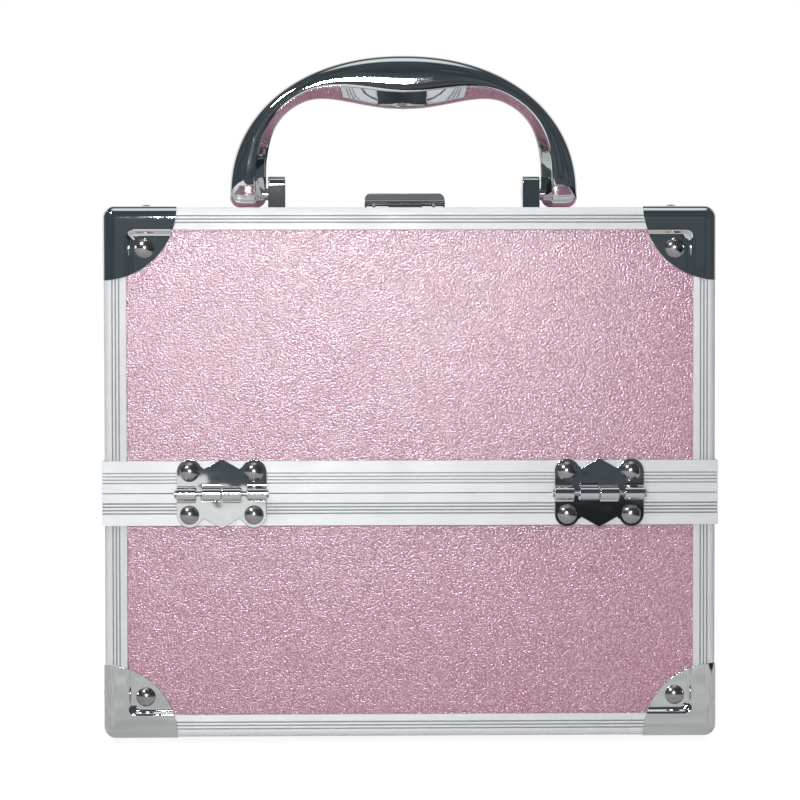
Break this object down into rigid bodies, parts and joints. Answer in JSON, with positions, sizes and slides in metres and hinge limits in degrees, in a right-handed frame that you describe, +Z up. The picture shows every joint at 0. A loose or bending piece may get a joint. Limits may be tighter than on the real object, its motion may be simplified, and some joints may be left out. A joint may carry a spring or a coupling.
{
  "type": "make-up case",
  "caption": "Two-wing make-up case with a top handle: base tub, front and rear lid wings on butterfly hinges, cantilever trays and a latch.",
  "frame": {"origin": "middle of the case's footprint, on the floor that the feet stand on", "axes": "+Z up, -Y towards the front wing, +X to the right as seen from the front"},
  "size_m": [0.243, 0.182, 0.2775],
  "materials": {
    "pink_laminate": "embossed pearl laminate",
    "aluminium": "satin anodised",
    "chrome": "polished chrome",
    "steel": "nickel plated",
    "lining": "fabric-faced sheet",
    "tray_plastic": "moulded, fine grain",
    "rubber": "matt"
  },
  "bodies": {
    "base": {"base_front_panel": "pink_laminate", "base_rear_panel": "pink_laminate", "base_left_panel": "pink_laminate", "base_right_panel": "pink_laminate", "base_bottom_panel": "pink_laminate", "base_lining": "lining", "base_corner_posts": "aluminium", "base_bottom_rails": "aluminium", "base_rim": "aluminium", "base_corner_caps": "chrome", "base_rivets": "steel", "feet": "rubber", "foot_screws": "steel", "hinge_base_leaves": "chrome", "hinge_pins": "steel", "link_studs": "steel"},
    "front_lid": {"front_lid_face_panel": "pink_laminate", "front_lid_top_panel": "pink_laminate", "front_lid_left_panel": "pink_laminate", "front_lid_right_panel": "pink_laminate", "front_lid_lining": "lining", "front_lid_edge_profiles": "aluminium", "front_lid_seam_profiles": "aluminium", "front_lid_rim": "aluminium", "front_lid_corner_caps": "chrome", "front_lid_rivets": "steel", "front_lid_hinge_leaves": "chrome", "front_tray_studs": "steel", "latch_keeper": "chrome"},
    "rear_lid": {"rear_lid_face_panel": "pink_laminate", "rear_lid_top_panel": "pink_laminate", "rear_lid_left_panel": "pink_laminate", "rear_lid_right_panel": "pink_laminate", "rear_lid_lining": "lining", "rear_lid_edge_profiles": "aluminium", "rear_lid_seam_profiles": "aluminium", "rear_lid_rim": "aluminium", "rear_lid_corner_caps": "chrome", "rear_lid_rivets": "steel", "rear_lid_hinge_leaves": "chrome", "rear_tray_studs": "steel", "handle_brackets": "chrome", "handle_pins": "steel", "bracket_screws": "steel", "latch_base": "chrome", "latch_pin": "steel", "latch_screws": "steel"},
    "front_lower_tray": {"front_lower_tray": "tray_plastic"},
    "front_upper_tray": {"front_upper_tray": "tray_plastic"},
    "rear_lower_tray": {"rear_lower_tray": "tray_plastic"},
    "rear_upper_tray": {"rear_upper_tray": "tray_plastic"},
    "front_tray_links": {"front_tray_links": "steel"},
    "rear_tray_links": {"rear_tray_links": "steel"},
    "handle": {"handle_grip": "chrome"},
    "latch_lever": {"latch_lever": "chrome"},
    "lock_cylinder": {"lock_cylinder": "steel"}
  },
  "joints": [
    {"name": "front_lid_hinge", "type": "hinge", "parent": "base", "child": "front_lid", "pos_m": [0, -0.0885, 0.0985], "axis": [1, 0, 0], "range_deg": [0, 90]},
    {"name": "front_lower_tray_pivot", "type": "hinge", "parent": "front_lid", "child": "front_lower_tray", "pos_m": [0, -0.0625, 0.1145], "axis": [1, 0, 0], "range_deg": [-90, 0]},
    {"name": "front_upper_tray_pivot", "type": "hinge", "parent": "front_lid", "child": "front_upper_tray", "pos_m": [0, -0.0305, 0.1485], "axis": [1, 0, 0], "range_deg": [-90, 0]},
    {"name": "front_link_pivot", "type": "hinge", "parent": "base", "child": "front_tray_links", "pos_m": [0, -0.0665, 0.093], "axis": [1, 0, 0], "range_deg": [0, 90]},
    {"name": "rear_lid_hinge", "type": "hinge", "parent": "base", "child": "rear_lid", "pos_m": [0, 0.0885, 0.0985], "axis": [-1, 0, 0], "range_deg": [0, 90]},
    {"name": "rear_lower_tray_pivot", "type": "hinge", "parent": "rear_lid", "child": "rear_lower_tray", "pos_m": [0, 0.0625, 0.1145], "axis": [-1, 0, 0], "range_deg": [-90, 0]},
    {"name": "rear_upper_tray_pivot", "type": "hinge", "parent": "rear_lid", "child": "rear_upper_tray", "pos_m": [0, 0.0305, 0.1485], "axis": [-1, 0, 0], "range_deg": [-90, 0]},
    {"name": "rear_link_pivot", "type": "hinge", "parent": "base", "child": "rear_tray_links", "pos_m": [0, 0.0665, 0.093], "axis": [-1, 0, 0], "range_deg": [0, 90]},
    {"name": "handle_pivot", "type": "hinge", "parent": "rear_lid", "child": "handle", "pos_m": [0, 0.0145, 0.219], "axis": [1, 0, 0], "range_deg": [-88, 88]},
    {"name": "lever_hinge", "type": "hinge", "parent": "rear_lid", "child": "latch_lever", "pos_m": [0, 0.0158, 0.2149], "axis": [-1, 0, 0], "range_deg": [0, 100]},
    {"name": "key_turn", "type": "hinge", "parent": "latch_lever", "child": "lock_cylinder", "pos_m": [0, 0.006, 0.216], "axis": [0, 0, -1], "range_deg": [0, 90]}
  ],
  "couplings": [
    {"joint": "front_lower_tray_pivot", "follows": "front_lid_hinge", "ratio": -1},
    {"joint": "front_upper_tray_pivot", "follows": "front_lid_hinge", "ratio": -1},
    {"joint": "front_link_pivot", "follows": "front_lid_hinge", "ratio": 1},
    {"joint": "rear_lower_tray_pivot", "follows": "rear_lid_hinge", "ratio": -1},
    {"joint": "rear_upper_tray_pivot", "follows": "rear_lid_hinge", "ratio": -1},
    {"joint": "rear_link_pivot", "follows": "rear_lid_hinge", "ratio": 1}
  ]
}
